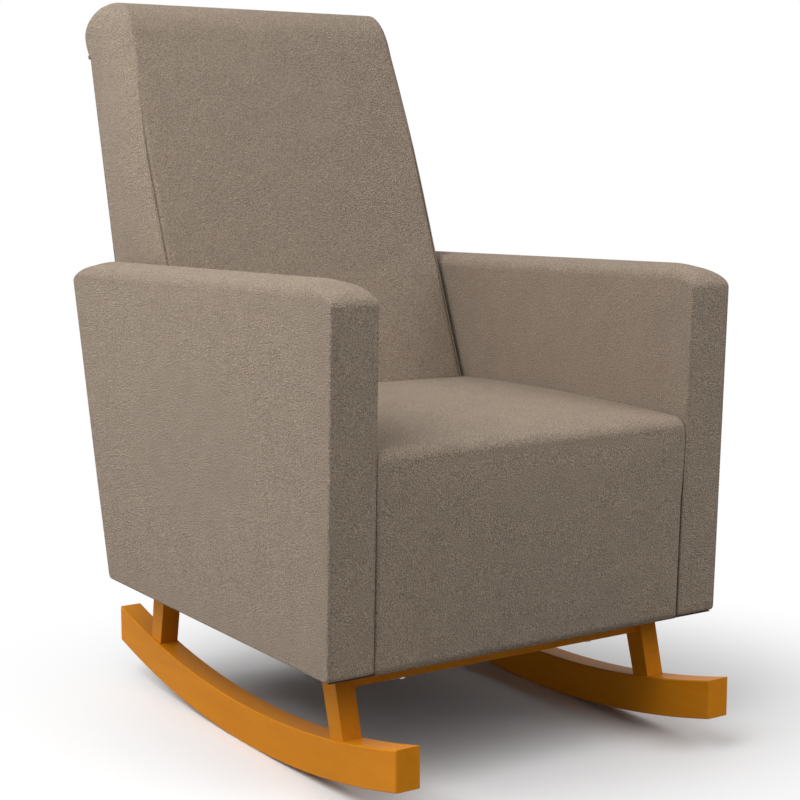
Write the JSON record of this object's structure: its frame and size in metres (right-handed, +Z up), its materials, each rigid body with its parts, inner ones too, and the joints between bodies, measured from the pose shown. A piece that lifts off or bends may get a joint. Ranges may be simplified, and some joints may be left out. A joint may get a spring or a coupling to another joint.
{
  "type": "rocking chair",
  "caption": "Upholstered rocking chair with box arms, a tight padded seat and a tall raked back with a rolled top, carried on short legs by curved wooden rockers.",
  "frame": {"origin": "on the floor, in the middle of the chair's outer box", "axes": "+Z up, -Y out of the chair's front, +X towards the right arm as seen by someone who stands in front of the chair"},
  "size_m": [0.608, 0.9041, 1],
  "materials": {
    "taupe_fabric": "fine nubby weave, matt",
    "honey_wood": "clear satin lacquer",
    "frame_wood": "raw, sawn",
    "birch_plywood": "raw, sanded",
    "grey_cardboard": "raw",
    "white_padding": "soft, matt",
    "black_cloth": "thin unwoven cloth, matt",
    "webbing_strap": "woven strap, matt",
    "fastener_steel": "zinc plated"
  },
  "bodies": {
    "root": {"arm_bolts": "fastener_steel", "arm_bottom_rail_left": "frame_wood", "arm_bottom_rail_right": "frame_wood", "arm_cover_left": "taupe_fabric", "arm_cover_right": "taupe_fabric", "arm_inner_board_left": "birch_plywood", "arm_inner_board_right": "birch_plywood", "arm_outer_board_left": "grey_cardboard", "arm_outer_board_right": "grey_cardboard", "arm_padding_left": "white_padding", "arm_padding_right": "white_padding", "arm_post_front_left": "frame_wood", "arm_post_front_right": "frame_wood", "arm_post_rear_left": "frame_wood", "arm_post_rear_right": "frame_wood", "arm_top_rail_left": "frame_wood", "arm_top_rail_right": "frame_wood", "back_board": "grey_cardboard", "back_bolts": "fastener_steel", "back_cover": "taupe_fabric", "back_foam": "white_padding", "back_front_rail": "frame_wood", "back_lower_rail": "frame_wood", "back_panel_cover": "taupe_fabric", "back_panel_left": "birch_plywood", "back_panel_right": "birch_plywood", "back_post_left": "frame_wood", "back_post_right": "frame_wood", "back_top_rail": "frame_wood", "back_webbing": "webbing_strap", "base_bolts": "fastener_steel", "base_rail_front": "honey_wood", "base_rail_left": "honey_wood", "base_rail_rear": "honey_wood", "base_rail_right": "honey_wood", "corner_blocks": "frame_wood", "dust_cover": "black_cloth", "leg_front_left": "honey_wood", "leg_front_right": "honey_wood", "leg_rear_left": "honey_wood", "leg_rear_right": "honey_wood", "leg_tenons": "frame_wood", "rocker_left": "honey_wood", "rocker_right": "honey_wood", "roll_foam": "white_padding", "seat_bearer": "frame_wood", "seat_cloth": "black_cloth", "seat_cover": "taupe_fabric", "seat_foam": "white_padding", "seat_front_padding": "white_padding", "seat_rail_front": "frame_wood", "seat_rail_left": "frame_wood", "seat_rail_rear": "frame_wood", "seat_rail_right": "frame_wood", "seat_webbing": "webbing_strap"}
  },
  "joints": []
}
